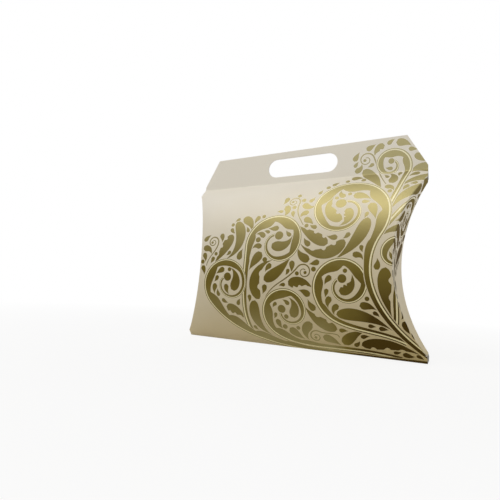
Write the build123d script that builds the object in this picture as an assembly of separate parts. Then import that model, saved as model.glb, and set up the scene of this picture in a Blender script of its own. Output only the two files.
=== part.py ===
from build123d import *
import math
import os

# A pillow box with a carrying handle, folded from one sheet of printed card. Two bulging panels
# rise from a narrow base and meet at a double handle with a hand slot. Each end is closed by two
# hollow flaps that fold in along curved scores, the front panel's flap outside the back panel's.
# Millimetres, Z up, the front faces -Y. The origin is under the middle of the base.

os.makedirs("parts", exist_ok=True)

# Card
card = 0.6
crease_gap = 0.1
fold_gap = 0.35
overrun = 5

# Panels and base
box_length = 290
fold_height = 203.5
base_depth = 25
panel_bulge = 38

# Curved scores at the ends
score_foot = 7.5
score_drop = 11.5

# Handle
handle_height = 41.5
handle_inset = 21
handle_shoulder = 4.5
handle_corner = 1.2
slot_length = 92
slot_height = 24
slot_rise = 8.5

# End flaps, each measured from its score at the foot, the middle and the head
outer_widths = {"foot": 30, "middle": 82, "head": 19}
inner_widths = {"foot": 20, "middle": 46, "head": 12}
tip_gap = 0.6

# The panel's section is one arc from the base crease to the handle fold, placed by its distance
# out from the middle plane and its height.
half_base = base_depth / 2
chord = math.hypot(half_base - card, fold_height)
panel_radius = (chord**2 / 4 + panel_bulge**2) / (2 * panel_bulge)
lean = math.atan2(half_base - card, fold_height)
arc_out = (half_base + card) / 2 - (panel_radius - panel_bulge) * math.cos(lean)
arc_height = fold_height / 2 - (panel_radius - panel_bulge) * math.sin(lean)


def panel_out(height, inset=0):
    """Distance of a panel's surface from the middle plane, at one height."""
    return arc_out + math.sqrt((panel_radius - inset) ** 2 - (height - arc_height) ** 2)


# A score folded square lies in a plane at 45 degrees, so the end is as hollow as the panel is
# round, and its arc has the panel's radius. It meets the end of the box at the score's two ends.
head_height = fold_height - score_drop
score_chord = math.hypot(head_height - score_foot, panel_out(head_height) - panel_out(score_foot))
score_hollow = panel_radius - math.sqrt(panel_radius**2 - score_chord**2 / 4)
half_chord = (head_height - score_foot) / 2
end_radius = (half_chord**2 + score_hollow**2) / (2 * score_hollow)
end_height = (score_foot + head_height) / 2
end_out = box_length / 2 + end_radius - score_hollow

# The back panel's scores and flaps lie inside the front panel's flaps. Every flap turns about an
# upright line through the deepest point of its score, at this distance from the middle plane.
inner_set = card + fold_gap
hinge_out = panel_out(end_height)


def end_cylinder(end, inset):
    """The space outside one end of the box, whose hollow surface is set in by an inset."""
    round_bar = Cylinder(end_radius + inset, 2 * (hinge_out + overrun))
    return Pos(end * end_out, 0, end_height) * Rot(90, 0, 0) * round_bar


def panel(side, score_inset):
    """One bulging panel, an arc of card along the box, trimmed at both ends on its score."""
    ring = Circle(panel_radius) - Circle(panel_radius - card)
    reach = arc_out + panel_radius + overrun
    window = Pos(side * reach / 2, fold_height / 2) * Rectangle(reach, fold_height)
    section = Plane.YZ * ((Pos(side * arc_out, arc_height) * ring) & window)
    sheet = extrude(section, amount=box_length / 2, both=True)
    clearance = score_inset + card + fold_gap
    return sheet - end_cylinder(1, clearance) - end_cylinder(-1, clearance)


def base_panel():
    """The narrow flat strip between the two lower creases, which the box stands on."""
    half_width = panel_out(0, card) - crease_gap
    return Pos(0, 0, card / 2) * Box(box_length, 2 * half_width, card)


def handle_half(side):
    """One card layer of the handle: upright at its ends, then tapered, with the hand slot cut out."""
    top_length = box_length - 2 * handle_inset
    shoulder = fold_height + handle_shoulder
    top = fold_height + handle_height
    corners = [
        (-box_length / 2, fold_height),
        (box_length / 2, fold_height),
        (box_length / 2, shoulder),
        (top_length / 2, top),
        (-top_length / 2, top),
        (-box_length / 2, shoulder),
    ]
    outline = make_face(Polyline(*corners, close=True))
    outline = fillet(outline.vertices().sort_by(Axis.Y)[-2:], handle_corner)
    slot_middle = fold_height + slot_rise + slot_height / 2
    outline -= Pos(0, slot_middle) * SlotOverall(slot_length, slot_height)
    # The sheet's plane faces -Y, so the front layer grows forward from the middle plane.
    return extrude(Plane.XZ * outline, amount=-side * card)


def flap_outline(side, widths):
    """A flap seen from the end: its score on one side and its curved free edge on the other."""
    low = score_foot + tip_gap
    high = head_height - tip_gap
    score_line = ThreePointArc(
        (side * panel_out(low), low),
        (side * hinge_out, end_height),
        (side * panel_out(high), high),
    )
    free_edge = ThreePointArc(
        (side * (panel_out(low) - widths["foot"]), low),
        (side * (hinge_out - widths["middle"]), end_height),
        (side * (panel_out(high) - widths["head"]), high),
    )
    foot_edge = Line(score_line @ 0, free_edge @ 0)
    head_edge = Line(score_line @ 1, free_edge @ 1)
    return make_face([score_line, head_edge, free_edge, foot_edge])


def flap(end, side, inset, widths):
    """One end flap: a hollow sheet of card that runs from its score across the end."""
    outline = Plane.YZ * flap_outline(side, widths)
    block = extrude(outline, amount=end * (box_length / 2 + overrun))
    return (block & end_cylinder(end, inset + card)) - end_cylinder(end, inset)


front = -1
back = 1
left = -1
right = 1

nodes = {
    "base_panel": base_panel(),
    "front_panel": panel(front, 0),
    "back_panel": panel(back, inner_set),
    "front_handle": handle_half(front),
    "back_handle": handle_half(back),
    "front_left_flap": flap(left, front, 0, outer_widths),
    "front_right_flap": flap(right, front, 0, outer_widths),
    "back_left_flap": flap(left, back, inner_set, inner_widths),
    "back_right_flap": flap(right, back, inner_set, inner_widths),
}

for name, solid in nodes.items():
    export_step(solid, os.path.join("parts", name + ".step"))
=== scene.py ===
import math

import bpy
import numpy as np
from mathutils import Matrix, Vector
from mathutils.geometry import delaunay_2d_cdt


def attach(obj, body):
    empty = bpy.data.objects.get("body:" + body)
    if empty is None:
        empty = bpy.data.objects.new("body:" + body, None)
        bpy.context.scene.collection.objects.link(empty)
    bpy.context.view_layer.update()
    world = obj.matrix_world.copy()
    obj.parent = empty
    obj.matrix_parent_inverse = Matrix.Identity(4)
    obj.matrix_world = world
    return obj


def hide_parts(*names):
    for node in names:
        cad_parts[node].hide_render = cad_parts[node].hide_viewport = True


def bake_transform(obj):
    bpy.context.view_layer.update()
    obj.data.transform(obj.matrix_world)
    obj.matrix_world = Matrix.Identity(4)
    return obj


# A pillow box with a carrying handle, folded from one sheet of pearl card that is printed with
# gold scrollwork. The card is laid out flat, printed, and then folded up on its scores. Flat
# measures are in millimetres: x across the sheet from its middle, v up it from the base crease.
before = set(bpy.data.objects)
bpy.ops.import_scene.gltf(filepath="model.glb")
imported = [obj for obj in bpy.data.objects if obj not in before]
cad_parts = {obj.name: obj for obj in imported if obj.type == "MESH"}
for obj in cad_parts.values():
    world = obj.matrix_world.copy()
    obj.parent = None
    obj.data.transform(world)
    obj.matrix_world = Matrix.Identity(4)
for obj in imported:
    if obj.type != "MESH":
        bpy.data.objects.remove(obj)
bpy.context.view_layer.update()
bpy.ops.object.select_all(action="DESELECT")


# The studio: a pale floor, one wide soft lamp above on the left, weaker ones from the right and
# from behind, and a camera low down on the right of the box, tipped up as the photograph has it.
def add_node(tree, kind, settings=None, **inputs):
    """One shader node. Its inputs go by name, or by number as _0 and _1 where names repeat."""
    node = tree.nodes.new(kind)
    for name, value in (settings or {}).items():
        setattr(node, name, value)
    for name, value in inputs.items():
        key = int(name[1:]) if name[1:].isdigit() else name.replace("_", " ")
        if isinstance(value, bpy.types.NodeSocket):
            tree.links.new(value, node.inputs[key])
        else:
            node.inputs[key].default_value = value
    return node


scene = bpy.context.scene
scene.view_settings.view_transform = "Standard"

camera = bpy.data.objects.new("camera", bpy.data.cameras.new("camera"))
camera.data.lens = 26.85
camera.data.sensor_width = 36
camera_place = Matrix.Translation((0.1655, -0.4315, 0.0629))
turn = Matrix.Rotation(math.radians(28.443), 4, "Z")
tip = Matrix.Rotation(math.radians(90 + 6.266), 4, "X")
roll = Matrix.Rotation(math.radians(2.968), 4, "Z")
camera.matrix_world = camera_place @ turn @ tip @ roll
scene.collection.objects.link(camera)
scene.camera = camera

lamp_aim = Vector((0, 0, 0.1))


def soft_lamp(name, place, width, power, colour):
    """A square soft box at a place, turned towards the middle of the pillow box."""
    lamp = bpy.data.objects.new(name, bpy.data.lights.new(name, "AREA"))
    lamp.data.size = width
    lamp.data.energy = power
    lamp.data.color = colour
    lamp.location = place
    direction = (lamp_aim - lamp.location).normalized()
    lamp.rotation_euler = direction.to_track_quat("-Z", "Y").to_euler()
    scene.collection.objects.link(lamp)


soft_lamp("key_lamp", place=(-0.45, -0.9, 1.9), width=1.2, power=11.8, colour=(1.0, 0.98, 0.94))
soft_lamp("side_lamp", place=(1.6, -0.4, 1.0), width=1.0, power=1.4, colour=(1.0, 1.0, 1.0))
soft_lamp("back_lamp", place=(-0.3, 1.5, 1.4), width=1.2, power=5, colour=(1.0, 0.98, 0.95))


def ranged(tree, value, source, target):
    """A value moved from one range to another, and held inside it."""
    low, high = source
    first, last = target
    return add_node(
        tree, "ShaderNodeMapRange", Value=value, From_Min=low, From_Max=high, To_Min=first, To_Max=last
    ).outputs[0]


def white_to_the_eye(tree, lit_shader, white_kind, share):
    """Mixes in plain white for rays from the camera and in reflections; the rest stays lit."""
    rays = add_node(tree, "ShaderNodeLightPath")
    seen = rays.outputs["Is Camera Ray"]
    for name in ("Is Glossy Ray", "Is Transmission Ray"):
        ray = rays.outputs[name]
        seen = add_node(tree, "ShaderNodeMath", {"operation": "MAXIMUM"}, _0=seen, _1=ray).outputs[0]
    part = add_node(tree, "ShaderNodeMath", {"operation": "MULTIPLY"}, _0=seen, _1=share)
    white = add_node(tree, white_kind, Color=(1, 1, 1, 1), Strength=1)
    mix = add_node(tree, "ShaderNodeMixShader", _0=part.outputs[0], _1=lit_shader, _2=white.outputs[0])
    return mix.outputs[0]


scene.world = bpy.data.worlds.new("studio_air")
scene.world.use_nodes = True
air = scene.world.node_tree
air.nodes.clear()
glow = add_node(air, "ShaderNodeBackground", Color=(1.0, 0.985, 0.96, 1), Strength=0.37)
white_air = white_to_the_eye(air, glow.outputs[0], "ShaderNodeBackground", 1)
add_node(air, "ShaderNodeOutputWorld", Surface=white_air)

# Near the box the floor is white only up to a share, and the rest of it takes light and shadow. From
# the first of these distances, in metres, it turns whiter, and past the second it is plain white.
shadow_reach = 0.25
white_reach = 0.9
white_share_at_box = 0.87

bpy.ops.mesh.primitive_plane_add(size=12, location=(0, 0, 0))
floor = bpy.context.object
floor.name = "studio_floor"
floor_paint = bpy.data.materials.new("floor_paint")
floor_paint.use_nodes = True
paint = floor_paint.node_tree
paint.nodes.clear()
matt = add_node(paint, "ShaderNodeBsdfDiffuse", Color=(0.9, 0.9, 0.9, 1))
spot = add_node(paint, "ShaderNodeTexCoord").outputs["Object"]
away = add_node(paint, "ShaderNodeVectorMath", {"operation": "LENGTH"}, _0=spot).outputs["Value"]
whiteness = ranged(paint, away, (shadow_reach, white_reach), (white_share_at_box, 1))
white_floor = white_to_the_eye(paint, matt.outputs[0], "ShaderNodeEmission", whiteness)
add_node(paint, "ShaderNodeOutputMaterial", Surface=white_floor)
floor.data.materials.append(floor_paint)
bpy.ops.object.select_all(action="DESELECT")


# The printed card: one sheet of pearl board. The scrollwork is metallic olive-gold ink, its bold
# stems edged by a cream line and a fine gold one. The inside and the cut edges are plain board.
card = 0.6
fold_gap = 0.35
half_length = 145
half_base = 12.5
fold_height = 203.5
panel_bulge = 38
score_foot = 7.5
score_head = fold_height - 11.5
tip_gap = 0.6
metre = 1000

# A panel's section is one arc from the base crease to the handle fold.
chord = math.hypot(half_base - card, fold_height)
lean = math.atan2(half_base - card, fold_height)
panel_radius = (chord**2 / 4 + panel_bulge**2) / (2 * panel_bulge)
arc_out = (half_base + card) / 2 - (panel_radius - panel_bulge) * math.cos(lean)
arc_height = fold_height / 2 - (panel_radius - panel_bulge) * math.sin(lean)
arc_start = math.asin(-arc_height / panel_radius)
panel_length = panel_radius * (math.asin((fold_height - arc_height) / panel_radius) - arc_start)


def panel_out(height):
    """Distance of a panel's outer face from the box's middle plane, at one height."""
    return arc_out + math.sqrt(panel_radius**2 - (height - arc_height) ** 2)


# A score folded square lies in a plane at 45 degrees, so the end is as hollow as the panel is round.
half_score = (score_head - score_foot) / 2
score_lean = (panel_out(score_head) - panel_out(score_foot)) / (score_head - score_foot)
score_chord = 2 * half_score * math.hypot(1, score_lean)
score_hollow = panel_radius - math.sqrt(panel_radius**2 - score_chord**2 / 4)
end_radius = (half_score**2 + score_hollow**2) / (2 * score_hollow)
end_height = (score_foot + score_head) / 2
end_out = half_length + end_radius - score_hollow

# Each stem of the print: its root, the heading it leaves at, the middle and radius of its curl,
# where the curl starts, its turns and hand, the stroke's widths at tail, body and tip, the share at
# which it is widest, the pull of the run at both ends, the share of the radius that the curl closes
# to, the bulb at its end as a share of the radius, and its leafy lobes, counted on its whole length.
stem_rows = [
    ((-105, 99), 84, (-98, 129), 8, -20, 1.6, 1, (0.9, 1.6, 0.9), 0.5, (0.35, 0.35), 0.2, 0.2, 0),
    ((19, 148), 122, (2, 181), 8, -20, 1.5, 1, (0.9, 1.5, 0.9), 0.5, (0.4, 0.4), 0.2, 0.2, 0),
    ((104, 200), 118, (80, 240), 9, 10, 1.5, 1, (0.9, 1.5, 0.9), 0.5, (0.4, 0.4), 0.2, 0.2, 0),
    ((-24, 62), 62, (24, 94), 9, 150, 1.5, -1, (0.9, 1.5, 0.9), 0.5, (0.4, 0.4), 0.2, 0.2, 0),
    ((60, 22), 100, (34, 20), 8, 60, 1.5, 1, (0.9, 1.5, 0.9), 0.5, (0.3, 0.4), 0.2, 0.2, 0),
    ((122, 4), 168, (4, 48), 32, 250, 1.25, -1, (2.6, 5.6, 1.8), 0.6, (0.4, 0.26), 0.26, 0.15, 8),
    ((-42, 14), 120, (-10, 127), 37, 190, 1.3, -1, (2.6, 6, 1.8), 0.6, (0.3, 0.4), 0.24, 0.14, 9),
    ((128, 24), 152, (68, 80), 31, 206, 1.28, -1, (2.6, 5.6, 1.8), 0.6, (0.35, 0.4), 0.26, 0.15, 8),
    ((108, 168), 70, (107, 231), 19, -24, 1.3, 1, (2, 4.2, 1.3), 0.62, (0.4, 0.4), 0.24, 0.17, 6),
    ((101, 134), 44, (158, 156), 24, 112, 1.3, -1, (2.2, 5, 1.4), 0.62, (0.4, 0.4), 0.24, 0.17, 6),
    ((116, 39), 80, (119, 113), 21, -62, 1.3, 1, (2.2, 4.4, 1.4), 0.66, (0.4, 0.4), 0.24, 0.17, 6),
    ((152, 2), 181, (-72, 78), 34, 228, 1.35, -1, (3.4, 6, 1.8), 0.62, (0.44, 0.3), 0.24, 0.15, 11),
    ((150, 5), 140, (63, 165), 47, -38, 1.42, 1, (3.6, 7, 2), 0.62, (0.5, 0.34), 0.22, 0.13, 11),
]

# The edge of the printed ground, and the length and width of the leaves on it, longest first.
print_border = [
    (150, 1), (60, 2), (20, 7), (-20, 13), (-58, 26), (-88, 45), (-106, 66), (-113, 92), (-113, 138),
    (-90, 141), (-77, 140), (-75, 158), (-58, 166), (-42, 163), (-26, 165), (-14, 170), (-10, 190),
    (8, 193), (18, 182), (25, 188), (33, 199), (46, 209), (62, 213), (66, 222), (64, 246), (88, 261),
    (122, 262), (152, 226), (180, 192), (196, 152), (180, 116), (148, 96), (128, 74), (129, 48),
    (141, 22), (152, 1),
]
leaf_sizes = [
    (60, 13.5), (52, 13.5), (45, 13), (38, 12.5), (32, 12), (27, 11), (22, 9.6), (18, 8.2), (14, 6.6),
]
leaf_gap = 0.9
leaf_steps = 8
bulb_gap = 0.9
smallest_bulb = 1.7
print_seed = 10

# A stem whose body is wider than this is bold. From its plain edge outwards come a cream line, a
# fine gold line and a bare line, each up to its own reach, and all draw in towards the stem's tip
# by the taper. A thin stem has only a bare line, and leaves keep clear of a little room beside it.
bold_stroke = 2.0
cream_line_reach = 1.7
gold_line_reach = 2.9
bold_bare_reach = 3.8
thin_bare_reach = 1.0
thin_stem_room = 0.2
line_taper = 0.62


def closed(outline):
    """An outline as a line that ends where it starts."""
    return outline + outline[:1]


def inside_outline(points, outline):
    """Which points an outline goes round, however it crosses itself."""
    hits = np.zeros(len(points), dtype=int)
    corners = np.array(outline)
    following = np.roll(corners, -1, axis=0)
    for (x0, v0), (x1, v1) in zip(corners, following):
        if v0 == v1:
            continue
        crosses = (points[:, 1] >= min(v0, v1)) & (points[:, 1] < max(v0, v1))
        reach = x0 + (points[:, 1] - v0) * (x1 - x0) / (v1 - v0)
        hits += np.where(crosses & (points[:, 0] < reach), 1 if v1 > v0 else -1, 0)
    return hits != 0


def ribbon(line, left, right):
    """The outline of a stroke: a centre line with its own half width on each side."""
    one_side = []
    other_side = []
    for i, (x, v) in enumerate(line):
        back = line[max(i - 1, 0)]
        ahead = line[min(i + 1, len(line) - 1)]
        length = math.hypot(ahead[0] - back[0], ahead[1] - back[1]) or 1
        across = (back[1] - ahead[1]) / length, (ahead[0] - back[0]) / length
        one_side.append((x + across[0] * left[i], v + across[1] * left[i]))
        other_side.append((x - across[0] * right[i], v - across[1] * right[i]))
    return one_side + other_side[::-1]


def even_steps(line, step):
    """The same line with its points a fixed step apart."""
    line = np.array(line)
    along = np.concatenate(([0], np.cumsum(np.hypot(*np.diff(line, axis=0).T))))
    marks = np.linspace(0, along[-1], max(2, round(along[-1] / step)) + 1)
    return list(zip(np.interp(marks, along, line[:, 0]), np.interp(marks, along, line[:, 1])))


def stem_line(root, heading, centre, radius, start, turns, hand, pulls, inner):
    """A stem's centre line: a run from its root, then a curl that closes round a centre."""
    curl_steps = 80
    run_steps = 40
    point_step = 1.7
    closing = 1.2
    curl = []
    for i in range(curl_steps + 1):
        share = i / curl_steps
        reach = radius * (inner + (1 - inner) * (1 - share) ** closing)
        angle = math.radians(start) + hand * math.tau * turns * share
        curl.append((centre[0] + reach * math.cos(angle), centre[1] + reach * math.sin(angle)))
    (x0, v0), (x1, v1) = curl[:2]
    lead = math.hypot(x1 - x0, v1 - v0)
    span = math.hypot(x0 - root[0], v0 - root[1])
    out = span * pulls[0]
    back = span * pulls[1]
    way = math.radians(heading)
    first = (root[0] + out * math.cos(way), root[1] + out * math.sin(way))
    second = (x0 - back * (x1 - x0) / lead, v0 - back * (v1 - v0) / lead)
    guides = (root, first, second, curl[0])
    run = []
    for i in range(run_steps):
        t = i / run_steps
        weights = (1 - t) ** 3, 3 * t * (1 - t) ** 2, 3 * t * t * (1 - t), t**3
        x = sum(weight * guide[0] for weight, guide in zip(weights, guides))
        v = sum(weight * guide[1] for weight, guide in zip(weights, guides))
        run.append((x, v))
    return even_steps(run + curl, point_step)


def stem_half_widths(count, tail, body, tip, peak, lobes):
    """Half widths along a stem's plain edge and along its inner edge, which has leafy lobes."""
    first_lobe = 0.3
    lobed_share = 0.56
    lobe_lean = 1.7
    lobe_roundness = 0.7
    plain = []
    inner = []
    for i in range(count):
        share = i / (count - 1)
        if share < peak:
            width = tail + (body - tail) * math.sin(math.pi / 2 * share / peak) ** 2
        else:
            width = tip + (body - tip) * math.cos(math.pi / 2 * (share - peak) / (1 - peak)) ** 2
        swell = 0
        if lobes:
            swell = math.sin(math.pi * min(1, max(0, (share - first_lobe) / lobed_share)))
        lobe = share * lobes % 1
        plain.append(width / 2)
        inner.append(width / 2 + swell * body * math.sin(math.pi * lobe**lobe_lean) ** lobe_roundness)
    return np.array(plain), np.array(inner)


def drop_half(share, width):
    """Half the width of a leaf at a share of its length: a pointed tail and a round head."""
    tail_share = 0.74
    head_share = 0.26
    tail = np.sin(math.pi / 2 * np.minimum(share / tail_share, 1)) ** 1.5
    head = np.sqrt(np.clip(1 - ((share - tail_share) / head_share) ** 2, 0, 1))
    return width / 2 * np.where(share < tail_share, tail, head)


def leaf_middles(root, heading, length, bend, steps=leaf_steps):
    """Places along the middle of each of a row of leaves, from past its root to its head."""
    halfway = np.arange(steps) + 0.5
    turned = np.radians(heading)[:, None] + np.radians(bend)[:, None] * halfway / steps
    pace = (np.asarray(length) / steps)[:, None, None]
    paces = np.stack([np.cos(turned), np.sin(turned)], axis=-1) * pace
    return root[:, None] + np.cumsum(paces, axis=1)


def leaf_outline(root, heading, length, width, bend, teeth, margin):
    """A drop-shaped leaf, toothed on its inner side at will, and wider all round by a margin."""
    point_step = 1.9
    first_tooth = 0.15
    tooth_depth = 0.45
    blunt_end = 0.6
    steps = max(10, round(length / point_step))
    ones = [np.array([value]) for value in (root, heading, length, bend)]
    line = [tuple(root)] + [tuple(place) for place in leaf_middles(*ones, steps)[0]]
    share = np.arange(steps + 1) / steps
    half = drop_half(share, width)
    notches = tooth_depth * np.maximum(0, np.sin(math.tau * teeth * share))
    plain = half + margin
    toothed = half * (1 - np.where(share > first_tooth, notches, 0)) + margin
    if margin:
        for end, near in ((0, 1), (-1, -2)):
            (x0, v0), (x1, v1) = line[end], line[near]
            reach = math.hypot(x0 - x1, v0 - v1)
            line[end] = (x0 + (x0 - x1) / reach * margin, v0 + (v0 - v1) / reach * margin)
            plain[end] = toothed[end] = margin * blunt_end
    if bend >= 0:
        return ribbon(line, toothed, plain)
    return ribbon(line, plain, toothed)


def round_outline(x, v, radius, count=20):
    """A berry, or the bulb at the end of a stem."""
    angles = [math.tau * i / count for i in range(count)]
    return [(x + radius * math.cos(angle), v + radius * math.sin(angle)) for angle in angles]


class BareGround:
    """The printed ground on a grid of 1 mm: how far each place on it lies from the nearest ink.

    Farther than the reach counts as the reach. Ink may lie a little over the ground's edge.
    """

    reach = 12
    left = -208
    foot = -12
    head = 272
    edge_step = 2
    over_the_edge = 1.5

    def __init__(self):
        columns = np.arange(self.left, -self.left + 1)
        across, up = np.meshgrid(columns, np.arange(self.foot, self.head))
        self.grid = np.stack([across, up], axis=-1).astype(float)
        printed = inside_outline(self.grid.reshape(-1, 2), print_border)
        self.room = np.where(printed, self.reach, -1.0).reshape(across.shape)
        edge = even_steps(closed(print_border), self.edge_step)
        self.ink(edge, np.full(len(edge), -self.over_the_edge))

    def ink(self, places, radii):
        """Prints a row of discs."""
        for (x, v), radius in zip(places, radii):
            span = radius + self.reach
            columns = slice(max(0, int(x - span - self.left)), max(0, int(x + span - self.left) + 2))
            rows = slice(max(0, int(v - span - self.foot)), max(0, int(v + span - self.foot) + 2))
            away = np.linalg.norm(self.grid[rows, columns] - (x, v), axis=-1) - radius
            self.room[rows, columns] = np.minimum(self.room[rows, columns], away)

    def at(self, places):
        """The room at any places, read between the points of the grid."""
        inside_edge = 1.01
        x = np.clip(places[..., 0] - self.left, 0, self.room.shape[1] - inside_edge)
        v = np.clip(places[..., 1] - self.foot, 0, self.room.shape[0] - inside_edge)
        column, row = x.astype(int), v.astype(int)
        x, v = x - column, v - row
        low = self.room[row, column] * (1 - x) + self.room[row, column + 1] * x
        high = self.room[row + 1, column] * (1 - x) + self.room[row + 1, column + 1] * x
        return low * (1 - v) + high * v


def leaf_roots(stems):
    """Every way that a leaf could leave a stem: its root, heading, bend, and what it is chosen by."""
    root_step = 3
    last_root = 0.93
    roots = []
    for line, plain, lobed, hand, bold, _ in stems:
        for i in range(root_step, int(len(line) * last_root), root_step):
            back, ahead = line[i - 1], line[i + 1]
            heading = math.degrees(math.atan2(ahead[1] - back[1], ahead[0] - back[0]))
            for side in (1, -1):
                half = (lobed if side == hand else plain)[i] + (leaf_gap if bold else 0)
                out = math.radians(heading + 90 * side)
                root = line[i][0] + half * math.cos(out), line[i][1] + half * math.sin(out)
                for away in (12, 24, 40):
                    for bend in (120, 85, 50, 15, -30):
                        roots.append((*root, heading + side * away, side * bend, bend, bold))
    return np.array(roots, dtype=float)


def grow_leaves(stems, ground, dice):
    """Leaves from the stems' sides, the longest first, a gap clear of all ink past their tails."""
    bend_liking = 0.012
    thin_stem_leaf = 18
    joined_share = 0.37
    long_leaf = 24
    middling_leaf = 16
    beside = BareGround()
    roots = leaf_roots(stems)
    shares = np.arange(1, leaf_steps + 1) / leaf_steps
    clear = shares > joined_share
    leaves = []
    for length, width in leaf_sizes:
        order = np.argsort(dice.random(len(roots)) - bend_liking * roots[:, 4])
        chosen = roots[order[(roots[order, 5] > 0) | (length <= thin_stem_leaf)]]
        lengths = np.full(len(chosen), length)
        middles = leaf_middles(chosen[:, :2], chosen[:, 2], lengths, chosen[:, 3])
        half = drop_half(shares, width)

        def fits(which):
            from_stems = ground.at(middles[which][..., clear, :]) > half[clear] + leaf_gap
            from_leaves = beside.at(middles[which]) > half + leaf_gap
            return from_stems.all(axis=-1) & from_leaves.all(axis=-1)

        for k in np.flatnonzero(fits(np.arange(len(chosen)))):
            if not fits(k):
                continue
            ground.ink(middles[k], half)
            beside.ink(middles[k], half)
            teeth = 0
            if length > long_leaf:
                teeth = dice.choice((0, 0, 3, 4))
            elif length > middling_leaf:
                teeth = dice.choice((0, 0, 0, 2))
            leaves.append((chosen[k, :2], chosen[k, 2], length, width, chosen[k, 3], teeth))
    return leaves


def fill_gaps(stems, ground):
    """Loose leaves and berries for the gaps that are still open, the widest gap first."""
    loose_lengths = (30, 26, 22, 18, 15, 12.5, 10, 8.5)
    loose_turns = (0, 25, -25, 50, -50, 75, -75, 100, -100, 140, -140, 180)
    loose_bends = (50, -50, 15)
    slimness = 0.5
    narrowest_leaf = 1.8
    narrowest_gap = 2.1
    largest_berry = 3.4
    smallest_berry = 2.3
    line = np.concatenate([stem[0][:-1] for stem in stems])
    ahead = np.concatenate([stem[0][1:] for stem in stems])
    flow = np.degrees(np.arctan2(ahead[:, 1] - line[:, 1], ahead[:, 0] - line[:, 0]))
    ways = []
    for length in loose_lengths:
        for turn in loose_turns:
            ways += [(length, turn, bend) for bend in loose_bends]
    lengths, turns, bends = np.array(ways).T
    shares = np.arange(1, leaf_steps + 1) / leaf_steps
    leaves = []
    berries = []
    while ground.room.max() > narrowest_gap:
        place = ground.grid[np.unravel_index(np.argmax(ground.room), ground.room.shape)]
        widest = ground.room.max()
        heading = flow[np.argmin(((line - place) ** 2).sum(axis=1))] + turns
        widths = np.minimum(lengths * slimness, 2 * (widest - leaf_gap))
        middles = leaf_middles(np.zeros((len(ways), 2)), heading, lengths, bends)
        roots = place - middles[:, leaf_steps // 2]
        middles += roots[:, None]
        half = np.stack([drop_half(shares, width) for width in widths])
        fit = (ground.at(middles) > half + leaf_gap).all(axis=1)
        fit &= (ground.at(roots) > leaf_gap) & (widths > narrowest_leaf)
        if fit.any():
            k = int(np.argmax(fit))
            ground.ink(middles[k], half[k])
            leaves.append((roots[k], heading[k], lengths[k], widths[k], bends[k], 0))
        else:
            radius = min(widest - leaf_gap, largest_berry)
            ground.ink([place], [radius])
            if radius > smallest_berry:
                berries.append((*place, radius))
    return leaves, berries


stems = []
ground = BareGround()
for row in stem_rows:
    root, heading, centre, radius, start, turns, hand, widths, peak, pulls, inner, bulb, lobes = row
    line = stem_line(root, heading, centre, radius, start, turns, hand, pulls, inner)
    plain, lobed = stem_half_widths(len(line), *widths, peak, lobes)
    bulb_radius = max(smallest_bulb, bulb * radius)
    bold = widths[1] > bold_stroke
    stems.append((line, plain, lobed, hand, bold, bulb_radius))
    outer = plain + (gold_line_reach if bold else thin_stem_room)
    way = np.gradient(np.array(line), axis=0)
    inwards = np.stack([-way[:, 1], way[:, 0]], axis=1) / np.linalg.norm(way, axis=1)[:, None] * hand
    ground.ink(line + inwards * (lobed - outer)[:, None] / 2, (lobed + outer) / 2)
    ground.ink(line[-1:], [bulb_radius + bulb_gap])
leaves = grow_leaves(stems, ground, np.random.default_rng(print_seed))
loose_leaves, berries = fill_gaps(stems, ground)

# Everything that is printed, in the order of printing, each outline with its finish.
bare, ink, cream_line, inside, cut_edge = range(5)
bold_lines = [(bold_bare_reach, bare), (gold_line_reach, ink), (cream_line_reach, cream_line), (0, ink)]
thin_lines = [(thin_bare_reach, bare), (0, ink)]
inked_shapes = []
for leaf in leaves + loose_leaves:
    inked_shapes.append((leaf_outline(*leaf, leaf_gap), bare))
    inked_shapes.append((leaf_outline(*leaf, 0), ink))
for line, plain, lobed, hand, bold, bulb_radius in stems:
    taper = 1 - line_taper * (np.arange(len(line)) / len(line)) ** 2
    for reach, finish in bold_lines if bold else thin_lines:
        edges = (lobed + (finish == bare) * leaf_gap, plain + reach * taper)
        inked_shapes.append((ribbon(line, *(edges if hand > 0 else edges[::-1])), finish))
    inked_shapes.append((round_outline(*line[-1], bulb_radius + bulb_gap), bare))
    inked_shapes.append((round_outline(*line[-1], bulb_radius), ink))
for x, v, radius in berries:
    inked_shapes.append((round_outline(x, v, radius), ink))


def divide_flat(lines):
    """Cuts the flat sheet into triangles along every guide line and every edge of the print."""
    merge_distance = 1e-4
    points = []
    edges = []
    for line in lines + [closed(outline) for outline, finish in inked_shapes]:
        first = len(points)
        points += line
        edges += [(first + i, first + i + 1) for i in range(len(line) - 1)]
    found, _, faces, *_ = delaunay_2d_cdt(points, edges, [], 0, merge_distance, False)
    return np.array([tuple(point) for point in found]), np.array(faces)


def printed_finish(middles):
    """The finish of each triangle: what is printed last at its middle."""
    finish = np.full(len(middles), bare)
    for outline, kind in inked_shapes:
        corners = np.array(outline)
        low, high = corners.min(axis=0), corners.max(axis=0)
        near = np.flatnonzero(((middles > low) & (middles < high)).all(axis=1))
        if len(near):
            finish[near[inside_outline(middles[near], outline)]] = kind
    return finish


# The handle and its slot. Their heights are above the handle fold.
handle_rise = 41.5
handle_inset = 21
handle_shoulder = 4.5
handle_corner = 1.2
handle_corner_steps = 6
slot_half = 46
slot_low = 8.5
slot_high = 32.5
slot_end_steps = 20


def corner_arc(x, v, radius, start, end, count):
    """Points round one corner, from one angle to another."""
    angles = [math.radians(start + (end - start) * i / count) for i in range(count + 1)]
    return [(x + radius * math.cos(a), v + radius * math.sin(a)) for a in angles]


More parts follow.
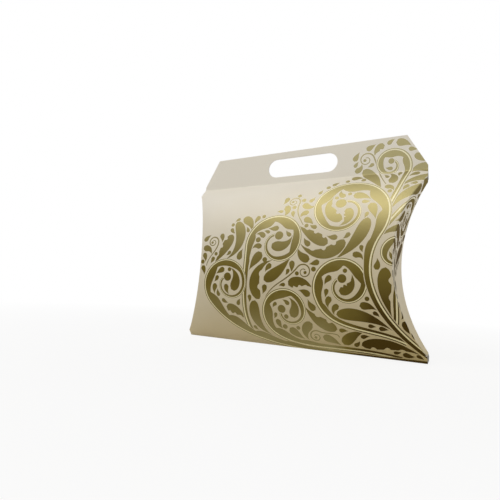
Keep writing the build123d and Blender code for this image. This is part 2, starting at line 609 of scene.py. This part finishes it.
def handle_outline():
    """The handle's edge above its fold: upright, then sloping in to softly rounded top corners."""
    slope = math.degrees(math.atan2(handle_rise - handle_shoulder, handle_inset))
    inset = handle_inset + handle_corner * math.tan(math.radians(slope / 2))
    top = panel_length + handle_rise
    right = [(half_length, panel_length), (half_length, panel_length + handle_shoulder)]
    middle = half_length - inset, top - handle_corner
    right += corner_arc(*middle, handle_corner, 90 - slope, 90, handle_corner_steps)
    return right + [(-x, v) for x, v in right[::-1]]


def slot_outline():
    """The hand slot, with full round ends."""
    radius = (slot_high - slot_low) / 2
    middle = panel_length + slot_low + radius
    right = corner_arc(slot_half - radius, middle, radius, -90, 90, slot_end_steps)
    left = corner_arc(-slot_half + radius, middle, radius, 90, 270, slot_end_steps)
    return right + left


def rounded_fold(share, corner, first, second, reach):
    """A point on a rounded fold: share 0 on its first face, 1 on its second."""
    return corner + first * (1 - share) ** 2 * reach + second * share**2 * reach


class FlatSide:
    """One side of the sheet, front or back: where its scores run, and where each point folds to.

    The folds are rounded over a reach on either side of them, and a score's fold turns sharp towards
    its two ends, over its softening. Rows and columns are lines that the mesh is made to bend on.
    """

    crease_reach = 1.0
    score_reach = 1.2
    softening = 5
    row_step = 3.6
    crease_row = 0.35
    flap_column_step = 3.2
    flap_columns = 25
    panel_column_step = 12
    panel_columns = 9
    edge_room = 0.05
    hair = 1e-6

    def __init__(self, side, score_inset, flap_widths):
        self.side = side
        heights = [0, score_foot, score_foot + tip_gap, score_head - tip_gap, score_head, fold_height]
        marks = []
        for z in heights:
            marks.append(panel_radius * (math.asin((z - arc_height) / panel_radius) - arc_start))
        _, foot, low_tip, high_tip, head, _ = marks
        low_crease, high_crease = self.crease_reach, panel_length - self.crease_reach
        rows = set(marks) | {low_crease, high_crease, self.crease_row, panel_length - self.crease_row}
        for low, high in ((low_tip, high_tip), (low_crease, foot), (head, high_crease)):
            count = max(1, round((high - low) / self.row_step))
            rows |= {low + (high - low) * i / count for i in range(1, count)}
        self.v = np.array(sorted(rows))
        turned = arc_start + self.v / panel_radius
        self.out = arc_out + panel_radius * np.cos(turned)
        self.z = arc_height + panel_radius * np.sin(turned)
        radius = end_radius + score_inset
        scored = (self.z > score_foot - self.hair) & (self.z < score_head + self.hair)
        score = end_out - np.sqrt(radius**2 - (self.z - end_height) ** 2)
        self.half = np.minimum(np.where(scored, score, half_length), half_length)
        self.flapped = (self.v > low_tip - self.hair) & (self.v < high_tip + self.hair)
        self.flap_width = self.free_edge(flap_widths)
        to_score_end = np.minimum(self.z - score_foot, score_head - self.z)
        self.softness = np.clip(to_score_end / self.softening, 0, 1)
        self.round_creases()

    def free_edge(self, flap_widths):
        """Width of the flap at each row: its free edge is an arc through the given widths."""
        low, high = score_foot + tip_gap, score_head - tip_gap
        ends = []
        for z, name in ((low, "foot"), (end_height, "middle"), (high, "head")):
            ends.append((panel_out(z) - flap_widths[name], z))
        (x1, y1), (x2, y2), (x3, y3) = ends
        twist = 2 * (x1 * (y2 - y3) + x2 * (y3 - y1) + x3 * (y1 - y2))
        squares = [x * x + y * y for x, y in ends]
        cx = (squares[0] * (y2 - y3) + squares[1] * (y3 - y1) + squares[2] * (y1 - y2)) / twist
        cy = (squares[0] * (x3 - x2) + squares[1] * (x1 - x3) + squares[2] * (x2 - x1)) / twist
        radius = math.hypot(x2 - cx, y2 - cy)
        bow = np.sqrt(np.maximum(radius**2 - (self.z - cy) ** 2, 0))
        return np.where(self.flapped, self.out - (cx + bow * math.copysign(1, x2 - cx)), 0)

    def round_creases(self):
        """Rounds the panel's section into the base crease and the handle fold."""
        for corner_row, sign, other in ((0, 1, (-1, 0)), (-1, -1, (0, 1))):
            corner = np.array([self.out[corner_row], self.z[corner_row]])
            angle = arc_start + self.v[corner_row] / panel_radius
            along = sign * np.array([-math.sin(angle), math.cos(angle)])
            for i in range(len(self.v)):
                gap = abs(self.v[i] - self.v[corner_row])
                if gap < self.crease_reach - self.hair:
                    share = 0.5 * (1 - gap / self.crease_reach)
                    point = rounded_fold(share, corner, along, np.array(other), self.crease_reach)
                    self.out[i], self.z[i] = point

    def fold(self, x, v):
        """Where flat points of the panel and flaps lie once the box is folded, in metres."""
        half = np.interp(v, self.v, self.half)
        out = np.interp(v, self.v, self.out)
        z = np.interp(v, self.v, self.z)
        soft = np.interp(v, self.v, self.softness) * self.score_reach
        past = np.abs(x) - half
        length = np.where(past < 0, np.abs(x), half)
        depth = np.where(past > 0, out - past, out)
        near = np.abs(past) < self.score_reach
        share = np.clip(0.5 * (1 + past / self.score_reach), 0, 1)
        short = (1 - share) ** 2 * self.score_reach + np.minimum(past, 0)
        shallow = share**2 * self.score_reach - np.maximum(past, 0)
        length = length - near * short * soft / self.score_reach
        depth = depth - near * shallow * soft / self.score_reach
        return np.stack([-self.side * np.sign(x) * length, self.side * depth, z], axis=1) / metre

    def handle_fold(self, x, v):
        """Where flat points of the handle lie: upright, against the other half of the handle."""
        rise = v - panel_length
        share = np.clip(0.5 * (1 + rise / self.crease_reach), 0.5, 1)
        angle = arc_start + panel_length / panel_radius
        down = -np.array([-math.sin(angle), math.cos(angle)])
        near = rise < self.crease_reach
        out = card + np.where(near, down[0] * (1 - share) ** 2 * self.crease_reach, 0)
        up = np.where(near, (down[1] * (1 - share) ** 2 + share**2) * self.crease_reach, rise)
        return np.stack([-self.side * x, self.side * out, fold_height + up], axis=1) / metre

    def guide_lines(self):
        """Lines that the flat mesh keeps: its outline, rows to bend on, and both sides of scores."""
        lines = []
        for i, v in enumerate(self.v):
            reach = self.half[i] + self.flap_width[i]
            lines.append([(-reach, v), (reach, v)])
        columns = [share * self.score_reach for share in (-1, -0.4, 0, 0.4, 1)]
        for k in range(1, self.flap_columns + 1):
            columns.append(self.score_reach + self.flap_column_step * k)
        flap_rows = np.flatnonzero(self.flapped)
        for sign in (-1, 1):
            for past in columns:
                run = []
                for i in flap_rows:
                    if past < self.flap_width[i] - self.edge_room:
                        run.append((sign * (self.half[i] + past), self.v[i]))
                        continue
                    if len(run) > 1:
                        lines.append(run)
                    run = []
                if len(run) > 1:
                    lines.append(run)
            lines.append([(sign * (self.half[i] + self.flap_width[i]), self.v[i]) for i in flap_rows])
            for low in (True, False):
                land = ~self.flapped & ((self.v < panel_length / 2) == low)
                lines.append([(sign * self.half[i], self.v[i]) for i in np.flatnonzero(land)])
        for k in range(-self.panel_columns, self.panel_columns + 1):
            x = self.panel_column_step * k
            lines.append([(x, 0), (x, panel_length)])
        return lines

    def divide(self):
        """Cuts the printed sheet into triangles, and tells which piece each of them belongs to."""
        handle, slot = handle_outline(), slot_outline()
        self.flat, self.faces = divide_flat(self.guide_lines() + [closed(handle), closed(slot)])
        middles = self.flat[self.faces].mean(axis=1)
        self.finish = printed_finish(middles)
        x, v = middles[:, 0], middles[:, 1]
        beyond = np.abs(x) - np.interp(v, self.v, self.half)
        width = np.interp(v, self.v, self.flap_width)
        low, high = self.v[self.flapped][[0, -1]]
        self.end = np.sign(x) * -self.side
        self.on_panel = (v > 0) & (v < panel_length) & (beyond < 0)
        self.on_flap = (beyond > 0) & (beyond < width) & (v > low) & (v < high)
        self.on_handle = (v > panel_length) & inside_outline(middles, handle)
        self.on_handle &= ~inside_outline(middles, slot)


def srgb(red, green, blue):
    """A colour as a screen shows it, 0 to 255, in the linear values that shaders take."""
    shares = [value / 255 for value in (red, green, blue)]
    return (*[s / 12.92 if s <= 0.04045 else ((s + 0.055) / 1.055) ** 2.4 for s in shares], 1)


def times_plus(tree, value, factor, addend, clamped=False):
    """One value times another, plus a third."""
    settings = {"operation": "MULTIPLY_ADD", "use_clamp": clamped}
    return add_node(tree, "ShaderNodeMath", settings, _0=value, _1=factor, _2=addend).outputs[0]


def card_stock(name, colours, tone, metal, roughness, grain, mottle, edge_tint=(1, 1, 1, 1)):
    """A card or ink finish on the flat sheet's own map, so that it bends with the card.

    Its colour runs from the first colour to the last as its tone rises from 0 to 1. The tone has a
    start, a slope across and a slope up the sheet, and a lift at the sheet's foot, less at the right.
    On the pearl card, the cream lines and the gold ink, these slopes and the lift are painted light and
    shade.
    """
    start, across, up, foot = tone
    material = bpy.data.materials.new(name)
    material.use_nodes = True
    tree = material.node_tree
    tree.nodes.clear()
    flat = add_node(tree, "ShaderNodeUVMap", {"uv_map": "flat_sheet"}).outputs[0]
    clouds = add_node(tree, "ShaderNodeTexNoise", Vector=flat, Scale=28, Detail=3, Roughness=0.55)
    specks = add_node(tree, "ShaderNodeTexNoise", Vector=flat, Scale=1400, Detail=2, Roughness=0.6)
    speck = specks.outputs[0]
    place = add_node(tree, "ShaderNodeSeparateXYZ", Vector=flat)
    x, v = place.outputs[0], place.outputs[1]
    low = ranged(tree, v, (0.085, 0.01), (0, foot))
    left = ranged(tree, x, (0.1, 0.05), (0, 1))
    level = times_plus(tree, v, up, times_plus(tree, x, across, start))
    level = times_plus(tree, low, left, level)
    level = times_plus(tree, clouds.outputs[0], mottle, level, clamped=True)
    shade = add_node(tree, "ShaderNodeValToRGB", Fac=level)
    for position, stop_colour in colours[1:-1]:
        shade.color_ramp.elements.new(position)
    for stop, (position, stop_colour) in zip(shade.color_ramp.elements, colours):
        stop.position = position
        stop.color = stop_colour
    dust = ranged(tree, speck, (0.25, 0.75), (1 - grain, 1 + grain))
    rough = ranged(tree, speck, (0.2, 0.8), (roughness - 0.05, roughness + 0.06))
    scaled = {"operation": "SCALE"}
    colour = add_node(tree, "ShaderNodeVectorMath", scaled, _0=shade.outputs[0], Scale=dust)
    bump = add_node(tree, "ShaderNodeBump", Strength=0.12, Distance=0.00004, Height=speck)
    skin = add_node(
        tree, "ShaderNodeBsdfPrincipled", Base_Color=colour.outputs[0], Metallic=metal,
        Roughness=rough, Normal=bump.outputs[0], Specular_IOR_Level=0.35, Specular_Tint=edge_tint,
    )
    add_node(tree, "ShaderNodeOutputMaterial", Surface=skin.outputs[0])
    return material


# The pearl card and the cream lines run from a painted shade, darker and yellower, up to their lit
# colour.
pearl = [(0, srgb(200, 179, 120)), (1, srgb(248, 242, 228))]
# The gold ink runs from a painted shade in dark brown to a painted highlight in light olive.
gold = [(0, srgb(68, 52, 18)), (0.2, srgb(108, 94, 42))]
gold += [(0.5, srgb(153, 143, 100)), (1, srgb(172, 163, 122))]
cream = [(0, srgb(236, 222, 166)), (1, srgb(255, 248, 214))]
board = [(0, srgb(226, 222, 212)), (1, srgb(232, 229, 221))]
board_edge = [(0, srgb(232, 228, 218)), (1, srgb(238, 235, 228))]
gold_edge_tint = srgb(120, 104, 60)
# The pearl card and the cream lines take painted shade towards the foot and the right, where less light
# falls.
pearl_painted_shade = (0.06, -0.9, 4.0, 0)
# The gold ink takes a painted highlight towards the top, painted shade low on the panel and towards the
# right, and painted light again at the foot, less at the right.
gold_painted_light = (-0.28, -0.1, 4.0, 0.53)
board_tone = (0.3, -0.9, 2.0, 0)
card_finishes = [
    card_stock("pearl_card", pearl, pearl_painted_shade, metal=0.1, roughness=0.46, grain=0.035, mottle=0.12),
    card_stock("gold_ink", gold, gold_painted_light, 0.9, 0.42, 0.15, 0.18, gold_edge_tint),
    card_stock("cream_line", cream, pearl_painted_shade, metal=0.15, roughness=0.38, grain=0.04, mottle=0.1),
    card_stock("plain_inside", board, board_tone, metal=0, roughness=0.75, grain=0.03, mottle=0.1),
    card_stock("cut_edge", board_edge, board_tone, metal=0, roughness=0.8, grain=0.05, mottle=0.1),
]
smooth_angle = math.radians(35)


def thicken(piece, finish):
    """Gives the selected skin of card its thickness, its plain inside and its cut edges."""
    wall = piece.modifiers.new("card", "SOLIDIFY")
    wall.thickness = card / metre
    wall.offset = -1
    bpy.ops.object.modifier_apply(modifier="card")
    full = np.full(len(piece.data.polygons), cut_edge)
    full[:len(finish)] = finish
    full[len(finish):2 * len(finish)] = inside
    piece.data.polygons.foreach_set("material_index", full.astype(np.int32))
    bpy.ops.object.shade_smooth_by_angle(angle=smooth_angle)
    piece.select_set(False)


def make_card(name, sheet, chosen, places):
    """Makes one folded piece of card from some of a sheet's triangles, printed skin outwards."""
    finish = sheet.finish[chosen]
    used, faces = np.unique(sheet.faces[chosen], return_inverse=True)
    faces = faces.reshape(-1, 3)
    mesh = bpy.data.meshes.new(name)
    mesh.from_pydata(places[used].tolist(), [], faces.tolist())
    mesh.polygons.foreach_set("material_index", finish)
    for material in card_finishes:
        mesh.materials.append(material)
    chart = mesh.uv_layers.new(name="flat_sheet")
    corners = np.zeros(len(mesh.loops), dtype=int)
    mesh.loops.foreach_get("vertex_index", corners)
    chart.data.foreach_set("uv", (sheet.flat[used][corners] / metre).ravel())
    piece = bpy.data.objects.new(name, mesh)
    scene.collection.objects.link(piece)
    bpy.ops.object.select_all(action="DESELECT")
    piece.select_set(True)
    bpy.context.view_layer.objects.active = piece
    thicken(piece, finish)
    return piece


# Flap widths are measured from the score at its foot, its middle and its head.
outer_widths = {"foot": 30, "middle": 82, "head": 19}
inner_widths = {"foot": 20, "middle": 46, "head": 12}
sides = {
    "front": FlatSide(-1, 0, outer_widths),
    "back": FlatSide(1, card + fold_gap, inner_widths),
}
for sheet in sides.values():
    sheet.divide()


# The two panels: each is bent to one arc about a line along the box, rounded at the base crease
# and at the handle fold, and creased at both ends on a curved score.
for side_name, sheet in sides.items():
    places = sheet.fold(sheet.flat[:, 0], sheet.flat[:, 1])
    piece = make_card(side_name + "_panel_card", sheet, sheet.on_panel, places)
    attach(piece, "carton")
    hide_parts(side_name + "_panel")


# The handle: the sheet's two end strips stand up from their folds and are glued face to face, with
# the hand slot die-cut through both.
for side_name, sheet in sides.items():
    places = sheet.handle_fold(sheet.flat[:, 0], sheet.flat[:, 1])
    piece = make_card(side_name + "_handle_card", sheet, sheet.on_handle, places)
    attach(piece, "carton")
    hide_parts(side_name + "_handle")


# The end flaps: each panel runs on past its curved scores, and the part beyond folds in square, so
# that the end is as hollow as the panel is round. The front flaps lie outside the back ones.
for side_name, end_name in (("front", "left"), ("front", "right"), ("back", "left"), ("back", "right")):
    sheet = sides[side_name]
    places = sheet.fold(sheet.flat[:, 0], sheet.flat[:, 1])
    across = 1 if end_name == "right" else -1
    ours = sheet.on_flap & (sheet.end == across)
    piece = make_card(f"{side_name}_{end_name}_flap_card", sheet, ours, places)
    node = f"{side_name}_{end_name}_flap"
    row = int(np.argmin(sheet.half))
    score = np.array([across * sheet.half[row], sheet.side * sheet.out[row], sheet.z[row]])
    way = np.array([-across, -sheet.side, score_lean])
    way /= np.linalg.norm(way)
    start = score + way * card
    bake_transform(piece)
    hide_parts(node)


# The base: the narrow strip of the sheet between the two lower creases. The box stands on it, and
# its long edges turn up into the creases, where the panels carry on.
base_half = panel_out(0) - FlatSide.crease_reach
edge_hair = 0.01

# The steps from the flat of the base round to the middle of its crease.
fold_shares = (0.9, 0.8, 0.7, 0.6, 0.5)

bpy.ops.mesh.primitive_plane_add(size=2, location=(0, 0, 0))
base = bpy.context.object
base.name = "base_card"
bpy.ops.object.mode_set(mode="EDIT")
bpy.ops.transform.resize(value=(half_length / metre, base_half / metre, 1), center_override=(0, 0, 0))
bpy.ops.mesh.flip_normals()
bpy.ops.object.mode_set(mode="OBJECT")
crease = np.array([panel_out(0), 0])
rising = np.array([-math.sin(arc_start), math.cos(arc_start)])
inwards = np.array([-1, 0])
for side in (-1, 1):
    reached = np.array([base_half, 0])
    for share in fold_shares:
        bpy.ops.object.mode_set(mode="EDIT")
        bpy.ops.mesh.select_all(action="DESELECT")
        bpy.ops.object.mode_set(mode="OBJECT")
        for edge in base.data.edges:
            ends = [side * base.data.vertices[i].co.y * metre for i in edge.vertices]
            edge.select = bool(min(ends) > reached[0] - edge_hair)
        turned = rounded_fold(share, crease, rising, inwards, FlatSide.crease_reach)
        step = (turned - reached) / metre
        reached = turned
        bpy.ops.object.mode_set(mode="EDIT")
        bpy.ops.mesh.extrude_region_move(TRANSFORM_OT_translate={"value": (0, side * step[0], step[1])})
        bpy.ops.object.mode_set(mode="OBJECT")
base.data.uv_layers.remove(base.data.uv_layers[0])
chart = base.data.uv_layers.new(name="flat_sheet")
for loop in base.data.loops:
    chart.data[loop.index].uv = base.data.vertices[loop.vertex_index].co.xy
for material in card_finishes:
    base.data.materials.append(material)
thicken(base, [bare] * len(base.data.polygons))
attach(base, "carton")
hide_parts("base_panel")
